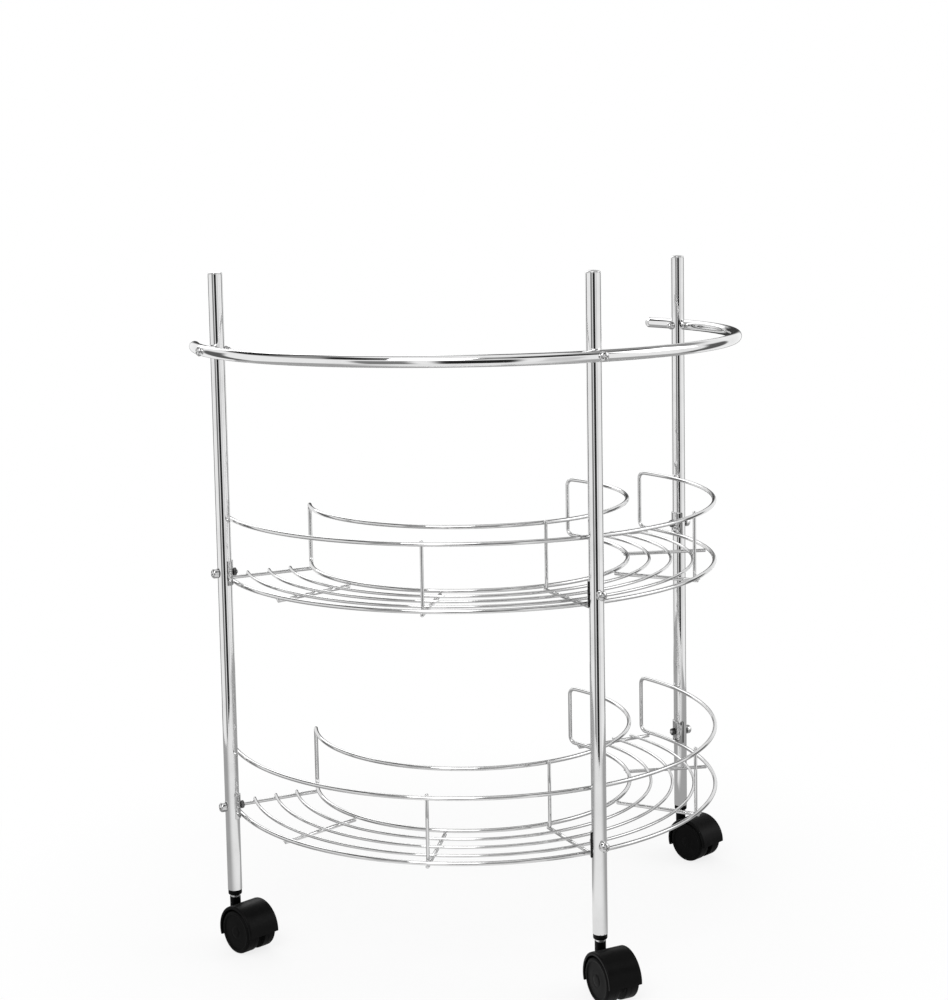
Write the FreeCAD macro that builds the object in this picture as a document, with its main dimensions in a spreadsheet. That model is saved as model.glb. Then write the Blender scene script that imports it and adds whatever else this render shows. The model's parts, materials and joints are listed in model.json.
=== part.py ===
"""Under-sink organizer: a horseshoe rack of chromed tube and wire on three swivel casters.

The origin lies on the floor below the centre of the horseshoe, +Z points up, the front leg
stands at -Y and the open back faces +Y. Sizes are in millimetres and degrees.

Most pieces are drawn in a turned frame whose +X axis runs from the centre of the horseshoe
through one leg or wire, and are then turned about the vertical into their place.
"""
import FreeCAD
import Part
import Sketcher
import os
from math import asin, cos, degrees, radians, sin

SIZES = [
    ("leg_dia", 14.0, "outside diameter of a leg tube"),
    ("leg_wall", 1.0, "wall of a leg tube"),
    ("leg_len", 607.0, "length of a leg tube"),
    ("leg_circle", 260.0, "radius of the circle through the leg axes"),
    ("leg_angle", 92.0, "turn from the front leg to each rear leg"),
    ("plug_tall", 2.0, "height of the dome on a leg's top plug"),
    ("plug_deep", 9.0, "length of a top plug inside its tube"),
    ("plug_slope", 1.4, "chamfer of a top plug's edge"),
    ("fit_gap", 0.05, "clearance of a piece pushed into a tube or hole"),
    ("rail_dia", 11.0, "outside diameter of the towel rail"),
    ("rail_wall", 1.0, "wall of the towel rail"),
    ("rail_drop", 73.5, "towel rail's axis below the leg tops"),
    ("rail_over", 13.0, "turn of the towel rail past each rear leg"),
    ("cap_tall", 4.5, "height of the dome on a rail end cap"),
    ("cap_deep", 6.0, "length of an end cap inside the rail"),
    ("cap_slope", 2.2, "chamfer of an end cap's dome"),
    ("lower_rise", 74.0, "lower shelf floor above the tube ends"),
    ("shelf_pitch", 233.0, "upper shelf floor above the lower one"),
    ("guard_rise", 61.0, "guard wire above the shelf floor"),
    ("inner_circle", 162.0, "radius of a shelf's inner loop"),
    ("back_line", 50.0, "end wires behind the horseshoe's centre"),
    ("wire_flat", 0.952, "six-sided wire across its flats, for 1 of round wire of the same area"),
    ("rail_flat", 0.974, "eight-sided tube across its flats, for 1 of round tube of the same area"),
    ("loop_wire", 4.0, "diameter of the inner and outer loop wires"),
    ("loop_bend", 7.0, "bend radius at the ends of a loop"),
    ("loop_over", 12.0, "loop ends past the end wire, along the wire"),
    ("floor_wire", 3.0, "diameter of a floor arc"),
    ("floor_over", 3.0, "floor arcs past the end wires, along the wire"),
    ("rung_wire", 3.6, "diameter of the cross wires and end wires"),
    ("rung_turn", 36.0, "turn from one cross wire to the next"),
    ("rung_over", 0.3, "cross and end wires past the loop's centre line"),
    ("post_wire", 3.2, "diameter of a guard post"),
    ("post_over", 1.0, "guard post above the guard wire"),
    ("saddle_wall", 1.2, "sheet of a leg saddle"),
    ("saddle_tall", 24.0, "height of a leg saddle"),
    ("saddle_open", 1.0, "saddle's edge short of the leg's middle"),
    ("saddle_lift", 10.5, "saddle's screw above the shelf floor"),
    ("screw_dia", 4.0, "shank of a screw"),
    ("screw_gap", 0.15, "clearance of a screw in its holes"),
    ("screw_tip", 1.5, "screw past its nut"),
    ("head_dia", 9.5, "diameter of a screw head"),
    ("head_tall", 4.0, "height of a rail screw's head"),
    ("shelf_head", 6.5, "height of a shelf screw's head"),
    ("head_slope", 2.2, "chamfer of a screw head"),
    ("nut_flats", 7.0, "nut across its flats"),
    ("nut_tall", 3.2, "height of a nut's hexagon"),
    ("dome_tall", 3.6, "dome of a rail nut above its hexagon"),
    ("dome_slope", 2.0, "chamfer of a rail nut's dome"),
    ("collar_dia", 13.4, "diameter of a caster socket's collar"),
    ("collar_tall", 5.0, "height of a caster socket's collar"),
    ("collar_slope", 1.2, "chamfer of the collar's lower edge"),
    ("socket_deep", 28.0, "length of a caster socket inside its tube"),
    ("stem_dia", 7.0, "diameter of a caster stem"),
    ("stem_up", 24.0, "stem above the lower end of its tube"),
    ("stem_deep", 9.5, "stem below the top of the hood's neck"),
    ("stem_nose", 1.0, "chamfer on the stem's tip"),
    ("shoulder_dia", 9.4, "diameter of the stem's shoulder"),
    ("shoulder_tall", 1.8, "height of the stem's shoulder"),
    ("swivel_gap", 0.2, "shoulder below the socket"),
    ("run_gap", 0.05, "radial running clearance of stems and wheels"),
    ("wheel_dia", 42.0, "diameter of a caster wheel"),
    ("wheel_wide", 13.5, "width of a caster wheel"),
    ("wheel_part", 7.0, "space between the two wheels of a caster"),
    ("wheel_slope", 1.8, "chamfer of a wheel's outer edge"),
    ("face_rim", 4.0, "rim of a wheel round its sunk face"),
    ("face_deep", 0.8, "depth of a wheel's sunk face"),
    ("face_thick", 2.4, "wall of a wheel's face"),
    ("axle_dia", 5.0, "diameter of a caster axle"),
    ("axle_end", 0.4, "axle's end short of the wheel's blind bore"),
    ("hood_gap", 1.5, "hood clear of the wheels' tread"),
    ("hood_wall", 3.0, "wall of a caster hood"),
    ("hood_web", 5.0, "web of the hood between the wheels"),
    ("hood_round", 1.5, "rounding of the hood's rim"),
    ("hood_rear", 8.0, "hood's edge below the axle on the neck's side"),
    ("hood_front", 0.5, "hood's edge below the axle on the far side"),
    ("boss_dia", 11.0, "boss of the hood round the axle"),
    ("trail", 21.0, "axle's offset from the swivel axis"),
    ("neck_dia", 10.5, "diameter of the hood's neck"),
    ("neck_rise", 1.5, "neck above the top of the hood"),
    ("neck_tip", 5.0, "diameter of the neck's root inside the hood"),
    ("neck_root", 24.0, "height of the neck's taper"),
    ("turn_left", 18.0, "left caster as it stands, from straight ahead"),
    ("turn_front", 0.0, "front caster as it stands, from straight ahead"),
    ("turn_right", 18.0, "right caster as it stands, from straight ahead"),
]

# Lengths and heights that follow from the sizes, as expressions.
LEG_R = "Sizes.leg_dia / 2"
LEG_BORE_R = "(Sizes.leg_dia / 2 - Sizes.leg_wall)"
RAIL_HALF = "(Sizes.rail_dia * Sizes.rail_flat / 2)"
RAIL_BORE = "((Sizes.rail_dia - 2 * Sizes.rail_wall) * Sizes.rail_flat / 2)"
RAIL_CIRCLE = f"(Sizes.leg_circle + Sizes.leg_dia / 2 + {RAIL_HALF})"
RAIL_TURN = "(Sizes.leg_angle + Sizes.rail_over)"
LOOP_HALF = "(Sizes.loop_wire * Sizes.wire_flat / 2)"
LOOP_REACH = f"({LOOP_HALF} / cos(30))"
FLOOR_HALF = "(Sizes.floor_wire * Sizes.wire_flat / 2)"
RUNG_HALF = "(Sizes.rung_wire * Sizes.wire_flat / 2)"
POST_HALF = "(Sizes.post_wire * Sizes.wire_flat / 2)"
SADDLE_IN = "(Sizes.leg_dia / 2 + Sizes.fit_gap)"
SADDLE_OUT = f"({SADDLE_IN} + Sizes.saddle_wall)"
SADDLE_BACK = f"(Sizes.leg_circle - {SADDLE_OUT})"
OUTER_CIRCLE = f"({SADDLE_BACK} - {LOOP_REACH})"
FLOOR_STEP = f"(({OUTER_CIRCLE} - Sizes.inner_circle) / 4)"
WHEEL_R = "Sizes.wheel_dia / 2"
WELL_R = "(Sizes.wheel_dia / 2 + Sizes.hood_gap)"
HOOD_R = f"({WELL_R} + Sizes.hood_wall)"
HALF_PART = "Sizes.wheel_part / 2"
WHEEL_FACE = f"({HALF_PART} + Sizes.wheel_wide)"
BORE_END = f"({WHEEL_FACE} - Sizes.face_deep - Sizes.face_thick)"
NECK_TOP = f"(Sizes.wheel_dia / 2 + {HOOD_R} + Sizes.neck_rise)"
SHOULDER_TOP = f"({NECK_TOP} + Sizes.shoulder_tall)"
COLLAR_FOOT = f"({SHOULDER_TOP} + Sizes.swivel_gap)"
TUBE_FOOT = f"({COLLAR_FOOT} + Sizes.collar_tall)"
LEG_TOP = f"({TUBE_FOOT} + Sizes.leg_len)"
RAIL_LEVEL = f"({LEG_TOP} - Sizes.rail_drop)"
LOWER_FLOOR = f"({TUBE_FOOT} + Sizes.lower_rise)"
UPPER_FLOOR = f"({LOWER_FLOOR} + Sizes.shelf_pitch)"
SCREW_R = "Sizes.screw_dia / 2"
HOLE_R = "(Sizes.screw_dia / 2 + Sizes.screw_gap)"
LEG_OUT = f"(Sizes.leg_circle + {LEG_R})"
LEG_IN = f"(Sizes.leg_circle - {LEG_R})"

SIDES = {"left": "(-Sizes.leg_angle)", "front": "0", "right": "Sizes.leg_angle"}
SHELVES = {"lower": LOWER_FLOOR, "upper": UPPER_FLOOR}

doc = FreeCAD.newDocument("under_sink_organizer")
sheet = doc.addObject("Spreadsheet::Sheet", "Sizes")
for row, (alias, value, meaning) in enumerate(SIZES, 1):
    sheet.set(f"A{row}", meaning)
    sheet.set(f"B{row}", str(value))
    sheet.setAlias(f"B{row}", alias)
doc.recompute()

nodes = []


def number(expression):
    """Value of an expression on the sheet's sizes."""
    return float(sheet.evalExpression(expression))


def node(piece):
    """Keep a finished piece as one of the part's named nodes."""
    nodes.append(piece)
    return piece


def turned(piece, turn, x="0", y="0"):
    """Turn a piece about the vertical, so that its +X axis leaves the front by that turn."""
    piece.setExpression("Placement.Base.x", x)
    piece.setExpression("Placement.Base.y", y)
    piece.setExpression("Placement.Rotation.Angle", f"{turn} - 90")
    return piece


def new_body(label):
    body = doc.addObject("PartDesign::Body", label)
    body.Label = label
    return body


def sketch_on(body, plane, lift="0", across="0"):
    """A sketch on one of the body's origin planes, lifted along the plane's normal."""
    sketch = body.newObject("Sketcher::SketchObject", "Outline")
    support = next(f for f in body.Origin.OriginFeatures if f.Role == plane)
    sketch.AttachmentSupport = (support, [""])
    sketch.MapMode = "FlatFace"
    sketch.setExpression("AttachmentOffset.Base.x", across)
    sketch.setExpression("AttachmentOffset.Base.z", lift)
    return sketch


def tie(sketch, geometry, point, x, y):
    """Hold a point of a sketch at a place given by two expressions."""
    for kind, axis, expression in (("DistanceX", -2, x), ("DistanceY", -1, y)):
        if expression == "0":
            sketch.addConstraint(Sketcher.Constraint("PointOnObject", geometry, point, axis))
            continue
        value = number(expression)
        index = sketch.addConstraint(Sketcher.Constraint(kind, -1, 1, geometry, point, value))
        sketch.setExpression(f"Constraints[{index}]", expression)


def ring(sketch, x, y, *radii):
    """Circles about one centre."""
    for radius in radii:
        centre = FreeCAD.Vector(number(x), number(y), 0)
        circle = Part.Circle(centre, FreeCAD.Vector(0, 0, 1), number(radius))
        index = sketch.addGeometry(circle, False)
        tie(sketch, index, 3, x, y)
        held = sketch.addConstraint(Sketcher.Constraint("Radius", index, number(radius)))
        sketch.setExpression(f"Constraints[{held}]", radius)


def outline(sketch, points):
    """A closed outline of straight lines through points given as expressions."""
    corners = [FreeCAD.Vector(number(x), number(y), 0) for x, y in points]
    first = sketch.GeometryCount
    count = len(points)
    for k in range(count):
        sketch.addGeometry(Part.LineSegment(corners[k], corners[(k + 1) % count]), False)
    for k in range(count):
        following = first + (k + 1) % count
        sketch.addConstraint(Sketcher.Constraint("Coincident", first + k, 2, following, 1))
    for k, (x, y) in enumerate(points):
        tie(sketch, first + k, 1, x, y)


def section(sketch, x, y, half, sides, first=None):
    """A regular outline about a centre, half across its flats, with a flat on top."""
    first = 90 - 180 / sides if first is None else first
    reach = f"{half} / cos({180 / sides})"
    corners = []
    for k in range(sides):
        turn = first + k * 360 / sides
        corners.append((f"{x} + {reach} * cos({turn})", f"{y} + {reach} * sin({turn})"))
    outline(sketch, corners)


def pad(body, sketch, length, midplane=False, back=False):
    feature = body.newObject("PartDesign::Pad", "Pad")
    feature.Profile = sketch
    feature.Midplane = midplane
    feature.Reversed = back
    feature.setExpression("Length", length)
    return feature


def pocket(body, sketch, length=None, midplane=False, back=False):
    """A pocket against the sketch's normal, or along it with back; through all without a length."""
    feature = body.newObject("PartDesign::Pocket", "Pocket")
    feature.Profile = sketch
    feature.Midplane = midplane
    feature.Reversed = back
    if length is None:
        feature.Type = "ThroughAll"
    else:
        feature.setExpression("Length", length)
    return feature


def revolve(body, sketch, angle="360", midplane=False):
    feature = body.newObject("PartDesign::Revolution", "Revolution")
    feature.Profile = sketch
    feature.ReferenceAxis = (sketch, ["V_Axis"])
    feature.Midplane = midplane
    feature.setExpression("Angle", angle)
    return feature


def dress(body, kind, size, wanted):
    """A fillet or chamfer on the edges of the last feature that the test picks."""
    doc.recompute()
    base = body.Tip
    edges = [f"Edge{k}" for k, edge in enumerate(base.Shape.Edges, 1) if wanted(edge)]
    feature = body.newObject(f"PartDesign::{kind}", kind)
    feature.Base = (base, edges)
    feature.setExpression("Radius" if kind == "Fillet" else "Size", size)
    return feature


def near(value, target):
    return abs(value - target) < 1e-4


def rim_at(axis, place, radius):
    """Test for a full or partial circle of one radius, at one place along an axis."""

    def wanted(edge):
        if not isinstance(edge.Curve, Part.Circle) or not near(edge.Curve.Radius, radius):
            return False
        return near(getattr(edge.Curve.Center, axis), place)

    return wanted


def disc(body, plane, lift, x, y, radius, length, back=False):
    """Pad a round disc or rod from a lifted plane."""
    sketch = sketch_on(body, plane, lift)
    ring(sketch, x, y, radius)
    return pad(body, sketch, length, back=back)


def straight_wire(body, plane, lift, x, y, half, length, back=False, first=None):
    """Pad a straight six-sided wire from a lifted plane."""
    sketch = sketch_on(body, plane, lift)
    section(sketch, x, y, half, 6, first)
    return pad(body, sketch, length, back=back)


def group(label, pieces):
    """Separate solids that share one node."""
    compound = doc.addObject("Part::Compound", label)
    compound.Label = label
    compound.Links = pieces
    return compound


def leg(side, turn):
    """A leg tube with cross holes for the rail screw and both shelf screws."""
    body = new_body(f"leg_{side}")
    tube = sketch_on(body, "XY_Plane", TUBE_FOOT)
    ring(tube, "Sizes.leg_circle", "0", LEG_R, LEG_BORE_R)
    pad(body, tube, "Sizes.leg_len")
    holes = sketch_on(body, "YZ_Plane")
    for level in (RAIL_LEVEL, screw_level(LOWER_FLOOR), screw_level(UPPER_FLOOR)):
        ring(holes, "0", level, HOLE_R)
    pocket(body, holes, back=True)
    return node(turned(body, turn))


def screw_level(floor):
    return f"({floor} + Sizes.saddle_lift)"


def leg_plug(side, turn):
    """The domed plug that closes the top of a leg."""
    body = new_body(f"leg_plug_{side}")
    disc(body, "XY_Plane", LEG_TOP, "Sizes.leg_circle", "0", LEG_R, "Sizes.plug_tall")
    top = number(f"{LEG_TOP} + Sizes.plug_tall")
    dress(body, "Chamfer", "Sizes.plug_slope", rim_at("z", top, number(LEG_R)))
    inside = f"({LEG_BORE_R} - Sizes.fit_gap)"
    disc(body, "XY_Plane", LEG_TOP, "Sizes.leg_circle", "0", inside, "Sizes.plug_deep", back=True)
    return node(turned(body, turn))


def towel_rail():
    """The bent tube outside the legs, drilled across at each leg."""
    body = new_body("towel_rail")
    tube = sketch_on(body, "XZ_Plane")
    for half in (RAIL_HALF, RAIL_BORE):
        section(tube, RAIL_CIRCLE, RAIL_LEVEL, half, 8)
    revolve(body, tube, f"2 * {RAIL_TURN}", midplane=True)
    for turn in SIDES.values():
        hole = sketch_on(body, "YZ_Plane")
        hole.AttachmentOffset = FreeCAD.Placement(
            FreeCAD.Vector(), FreeCAD.Rotation(FreeCAD.Vector(0, 1, 0), 1)
        )
        hole.setExpression("AttachmentOffset.Rotation.Angle", turn)
        ring(hole, "0", RAIL_LEVEL, HOLE_R)
        pocket(body, hole, back=True)
    return node(turned(body, "0"))


def rail_cap(side, turn, back):
    """The rounded cap on one end of the towel rail."""
    body = new_body(f"rail_cap_{side}")
    disc(body, "XZ_Plane", "0", RAIL_CIRCLE, RAIL_LEVEL, RAIL_HALF, "Sizes.cap_tall", back=back)
    end = number("Sizes.cap_tall") * (1 if back else -1)
    dress(body, "Chamfer", "Sizes.cap_slope", rim_at("y", end, number(RAIL_HALF)))
    inside = f"({RAIL_BORE} - 2 * Sizes.fit_gap)"
    disc(body, "XZ_Plane", "0", RAIL_CIRCLE, RAIL_LEVEL, inside, "Sizes.cap_deep", back=not back)
    return node(turned(body, turn))


def screw(label, turn, level, seat, tip, tall):
    """A dome-headed screw along +X; its head sits at seat and is tall high."""
    body = new_body(label)
    disc(body, "YZ_Plane", tip, "0", level, SCREW_R, f"{seat} - {tip}")
    disc(body, "YZ_Plane", seat, "0", level, "Sizes.head_dia / 2", tall)
    crown = number(f"{seat} + {tall}")
    dress(body, "Chamfer", "Sizes.head_slope", rim_at("x", crown, number("Sizes.head_dia / 2")))
    return turned(body, turn)


def shelf_nut(label, turn, level):
    """A plain nut against the back of a saddle."""
    body = new_body(label)
    flats = sketch_on(body, "YZ_Plane", SADDLE_BACK)
    section(flats, "0", level, "Sizes.nut_flats / 2", 6)
    ring(flats, "0", level, f"({SCREW_R} + Sizes.fit_gap)")
    pad(body, flats, "Sizes.nut_tall", back=True)
    return turned(body, turn)


def rail_nut(label, turn):
    """A domed nut on the inner side of a leg."""
    body = new_body(label)
    flats = sketch_on(body, "YZ_Plane", LEG_IN)
    section(flats, "0", RAIL_LEVEL, "Sizes.nut_flats / 2", 6)
    pad(body, flats, "Sizes.nut_tall", back=True)
    top = f"({LEG_IN} - Sizes.nut_tall)"
    dome_r = "(Sizes.nut_flats / 2 - Sizes.fit_gap)"
    disc(body, "YZ_Plane", top, "0", RAIL_LEVEL, dome_r, "Sizes.dome_tall", back=True)
    crown = number(f"{top} - Sizes.dome_tall")
    dress(body, "Chamfer", "Sizes.dome_slope", rim_at("x", crown, number(dome_r)))
    bore = sketch_on(body, "YZ_Plane", LEG_IN)
    ring(bore, "0", RAIL_LEVEL, f"({SCREW_R} + Sizes.fit_gap)")
    pocket(body, bore, "Sizes.nut_tall + Sizes.screw_tip + Sizes.fit_gap")
    return turned(body, turn)


def end_turn(circle):
    """Turn from the front at which a wire on this circle crosses the end wires."""
    return f"(90 + asin(Sizes.back_line / {circle}) / (1 deg))"


def floor_arc(label, circle, level):
    """A floor wire bent to the horseshoe, ending past the end wires."""
    body = new_body(label)
    wire = sketch_on(body, "XZ_Plane")
    section(wire, circle, level, FLOOR_HALF, 6)
    half = f"({end_turn(circle)} + Sizes.floor_over / {circle} * 180 / pi)"
    revolve(body, wire, f"2 * {half}", midplane=True)
    return node(turned(body, "0"))


def wire_loop(label, circle, floor):
    """A closed loop of bent wire: the floor's edge below, two upright ends and the guard above.

    The six-sided section lies in an upright plane through the horseshoe's centre at each end of
    the arcs. It is turned about the centre line of each bend and pushed along each upright.
    """
    radius = number(circle)
    low = number(floor)
    rise = number("Sizes.guard_rise")
    bend = number("Sizes.loop_bend")
    reach = number(LOOP_REACH)
    straight = number("Sizes.loop_over") - bend
    half = radians(90) + asin(number("Sizes.back_line") / radius) + straight / radius
    up = FreeCAD.Vector(0, 0, 1)
    pieces = []
    for side in (-1, 1):
        out = FreeCAD.Vector(cos(half), side * sin(half), 0)
        ahead = FreeCAD.Vector(-sin(half), side * cos(half), 0)
        for level, climb in ((low, 1), (low + rise, -1)):
            end = out * radius + up * level
            corners = []
            for k in range(6):
                turn = radians(60 * k)
                corners.append(end + out * (reach * cos(turn)) + up * (reach * sin(turn)))
            face = Part.Face(Part.makePolygon(corners + corners[:1]))
            if side < 0:
                pieces.append(face.revolve(FreeCAD.Vector(), up, degrees(2 * half)))
            hinge = end + up * (climb * bend)
            elbow = face.revolve(hinge, out * (side * climb), 90)
            pieces.append(elbow)
            if climb > 0:
                top = face.rotated(hinge, out * side, 90)
                pieces.append(top.extrude(up * (rise - 2 * bend)))
    loop = doc.addObject("Part::Feature", label)
    loop.Label = label
    loop.Shape = pieces[0].multiFuse(pieces[1:]).removeSplitter().Solids[0]
    return node(turned(loop, "0"))


def rung(label, turn, floor):
    """A straight cross wire under the floor, from the inner to the outer loop."""
    body = new_body(label)
    level = f"({floor} - {LOOP_HALF} - {RUNG_HALF})"
    start = "(Sizes.inner_circle - Sizes.rung_over)"
    length = f"{OUTER_CIRCLE} + Sizes.rung_over - {start}"
    straight_wire(body, "YZ_Plane", start, "0", level, RUNG_HALF, length)
    return turned(body, turn)


def end_wire(shelf, side, sign, floor):
    """The straight wire that closes one end of a shelf's floor, parallel to the wall."""
    body = new_body(f"{shelf}_end_wire_{side}")
    level = f"({floor} - {LOOP_HALF} - {RUNG_HALF})"
    start = "(sqrt(Sizes.inner_circle ^ 2 - Sizes.back_line ^ 2) - Sizes.rung_over)"
    length = f"sqrt({OUTER_CIRCLE} ^ 2 - Sizes.back_line ^ 2) + Sizes.rung_over - {start}"
    lift = f"-{start}" if sign > 0 else start
    place = "-Sizes.back_line"
    straight_wire(body, "XZ_Plane", lift, place, level, RUNG_HALF, length, back=sign > 0)
    return node(turned(body, "0"))


def guard_post(shelf, name, turn, place, floor):
    """A straight post welded inside a guard wire, standing on a cross wire."""
    body = new_body(f"{shelf}_{name}")
    foot = f"({floor} - {LOOP_HALF})"
    length = f"Sizes.guard_rise + 2 * {LOOP_HALF} + Sizes.post_over"
    straight_wire(body, "XY_Plane", foot, place, "0", POST_HALF, length, first=30)
    return node(turned(body, turn))


def saddle(shelf, side, turn, floor):
    """The sheet saddle that holds a shelf against the inner side of a leg."""
    body = new_body(f"{shelf}_saddle_{side}")
    sleeve = sketch_on(body, "XY_Plane", f"{screw_level(floor)} - Sizes.saddle_tall / 2")
    ring(sleeve, "Sizes.leg_circle", "0", SADDLE_OUT, SADDLE_IN)
    pad(body, sleeve, "Sizes.saddle_tall")
    opening = sketch_on(body, "XY_Plane")
    edge = "(Sizes.leg_circle - Sizes.saddle_open)"
    far = f"(Sizes.leg_circle + 2 * {SADDLE_OUT})"
    wide = f"(2 * {SADDLE_OUT})"
    outline(opening, [(edge, f"-{wide}"), (far, f"-{wide}"), (far, wide), (edge, wide)])
    pocket(body, opening, back=True)
    hole = sketch_on(body, "YZ_Plane")
    ring(hole, "0", screw_level(floor), HOLE_R)
    pocket(body, hole, back=True)
    return node(turned(body, turn))


def shelf(name, floor):
    """One horseshoe basket with its saddles."""
    wire_loop(f"{name}_outer_loop", OUTER_CIRCLE, floor)
    wire_loop(f"{name}_inner_loop", "Sizes.inner_circle", floor)
    floor_level = f"({floor} - {LOOP_HALF} + {FLOOR_HALF})"
    for k in (1, 2, 3):
        circle = f"(Sizes.inner_circle + {k} * {FLOOR_STEP})"
        floor_arc(f"{name}_floor_arc_{k}", circle, floor_level)
    rungs = []
    for k in range(-2, 3):
        rungs.append(rung(f"{name}_cross_wire_{k + 3}", f"{k} * Sizes.rung_turn", floor))
    node(group(f"{name}_cross_wires", rungs))
    end_wire(name, "left", -1, floor)
    end_wire(name, "right", 1, floor)
    outer = f"({OUTER_CIRCLE} - {LOOP_REACH} - {POST_HALF})"
    inner = f"(Sizes.inner_circle + {LOOP_REACH} + {POST_HALF})"
    guard_post(name, "outer_post_left", "-Sizes.rung_turn", outer, floor)
    guard_post(name, "outer_post_right", "Sizes.rung_turn", outer, floor)
    guard_post(name, "inner_post", "0", inner, floor)
    for side, turn in SIDES.items():
        saddle(name, side, turn, floor)


def fasteners():
    """Screws and nuts of the shelves and the towel rail."""
    shelf_tip = f"({SADDLE_BACK} - Sizes.nut_tall - Sizes.screw_tip)"
    rail_tip = f"({LEG_IN} - Sizes.nut_tall - Sizes.screw_tip)"
    rail_seat = f"({RAIL_CIRCLE} + {RAIL_HALF})"
    shelf_screws = []
    shelf_nuts = []
    rail_screws = []
    rail_nuts = []
    for side, turn in SIDES.items():
        for name, floor in SHELVES.items():
            level = screw_level(floor)
            label = f"{name}_screw_{side}"
            shelf_screws.append(screw(label, turn, level, LEG_OUT, shelf_tip, "Sizes.shelf_head"))
            shelf_nuts.append(shelf_nut(f"{name}_nut_{side}", turn, level))
        label = f"rail_screw_{side}"
        rail_screws.append(screw(label, turn, RAIL_LEVEL, rail_seat, rail_tip, "Sizes.head_tall"))
        rail_nuts.append(rail_nut(f"rail_nut_{side}", turn))
    node(group("shelf_screws", shelf_screws))
    node(group("shelf_nuts", shelf_nuts))
    node(group("rail_screws", rail_screws))
    node(group("rail_nuts", rail_nuts))


def caster_socket(side, turn):
    """The plastic socket pushed into the lower end of a leg."""
    body = new_body(f"caster_{side}_socket")
    middle = "Sizes.leg_circle"
    collar_r = "Sizes.collar_dia / 2"
    disc(body, "XY_Plane", COLLAR_FOOT, middle, "0", collar_r, "Sizes.collar_tall")
    rim = rim_at("z", number(COLLAR_FOOT), number(collar_r))
    dress(body, "Chamfer", "Sizes.collar_slope", rim)
    inside = f"({LEG_BORE_R} - Sizes.fit_gap)"
    disc(body, "XY_Plane", TUBE_FOOT, middle, "0", inside, "Sizes.socket_deep")
    bore = sketch_on(body, "XY_Plane")
    ring(bore, middle, "0", "(Sizes.stem_dia / 2 + Sizes.run_gap)")
    pocket(body, bore, back=True)
    return node(turned(body, turn))


def under_leg(body, turn, swivel):
    """Stand a caster piece under its leg, turned to the way that the caster trails."""
    x = f"Sizes.leg_circle * sin({turn})"
    y = f"-Sizes.leg_circle * cos({turn})"
    return node(turned(body, swivel, x, y))


def caster_stem(side):
    """The steel stem with its shoulder on the hood's neck."""
    body = new_body(f"caster_{side}_stem")
    foot = f"({NECK_TOP} - Sizes.stem_deep)"
    top = f"({TUBE_FOOT} + Sizes.stem_up)"
    disc(body, "XY_Plane", foot, "0", "0", "Sizes.stem_dia / 2", f"{top} - {foot}")
    rim = rim_at("z", number(top), number("Sizes.stem_dia / 2"))
    dress(body, "Chamfer", "Sizes.stem_nose", rim)
    disc(body, "XY_Plane", NECK_TOP, "0", "0", "Sizes.shoulder_dia / 2", "Sizes.shoulder_tall")
    return body


def caster_hood(side):
    """The moulded hood over both wheels, with the web between them and the neck for the stem."""
    body = new_body(f"caster_{side}_hood")
    drum = sketch_on(body, "XZ_Plane")
    ring(drum, "Sizes.trail", WHEEL_R, HOOD_R)
    pad(body, drum, f"2 * {WHEEL_FACE}", midplane=True)
    doc.recompute()
    rims = [rim_at("y", side_of * number(WHEEL_FACE), number(HOOD_R)) for side_of in (-1, 1)]
    dress(body, "Fillet", "Sizes.hood_round", lambda edge: any(rim(edge) for rim in rims))
    neck = sketch_on(body, "XZ_Plane")
    taper = f"({NECK_TOP} - Sizes.neck_root / 2)"
    root = f"({NECK_TOP} - Sizes.neck_root)"
    wide = "Sizes.neck_dia / 2"
    tip = "Sizes.neck_tip / 2"
    outline(neck, [("0", NECK_TOP), (wide, NECK_TOP), (wide, taper), (tip, root), ("0", root)])
    revolve(body, neck)
    below = sketch_on(body, "XZ_Plane")
    near_x = f"(Sizes.trail - 2 * {HOOD_R})"
    far_x = f"(Sizes.trail + 2 * {HOOD_R})"
    slope = "((Sizes.hood_rear - Sizes.hood_front) / 2)"
    middle = f"({WHEEL_R} - (Sizes.hood_rear + Sizes.hood_front) / 2)"
    deep = f"-{HOOD_R}"
    outline(
        below,
        [
            (near_x, deep),
            (far_x, deep),
            (far_x, f"{middle} + 2 * {slope}"),
            (near_x, f"{middle} - 2 * {slope}"),
        ],
    )
    pocket(body, below, f"4 * {WHEEL_FACE}", midplane=True)
    boss = sketch_on(body, "XZ_Plane")
    ring(boss, "Sizes.trail", WHEEL_R, "Sizes.boss_dia / 2")
    pad(body, boss, "Sizes.hood_web", midplane=True)
    well_deep = f"{WHEEL_FACE} - Sizes.hood_web / 2"
    for back in (False, True):
        lift = f"-{WHEEL_FACE}" if back else WHEEL_FACE
        well = sketch_on(body, "XZ_Plane", lift)
        ring(well, "Sizes.trail", WHEEL_R, WELL_R)
        pocket(body, well, well_deep, back=back)
    axle_hole = sketch_on(body, "XZ_Plane")
    ring(axle_hole, "Sizes.trail", WHEEL_R, "(Sizes.axle_dia / 2 + Sizes.fit_gap)")
    pocket(body, axle_hole, midplane=True)
    stem_hole = sketch_on(body, "XY_Plane", NECK_TOP)
    ring(stem_hole, "0", "0", "(Sizes.stem_dia / 2 + Sizes.fit_gap)")
    pocket(body, stem_hole, "Sizes.stem_deep")
    return body


def caster_axle(side):
    """The steel axle held in the hood's web."""
    body = new_body(f"caster_{side}_axle")
    rod = sketch_on(body, "XZ_Plane")
    ring(rod, "Sizes.trail", WHEEL_R, "Sizes.axle_dia / 2")
    pad(body, rod, f"2 * ({BORE_END} - Sizes.axle_end)", midplane=True)
    return body


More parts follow.
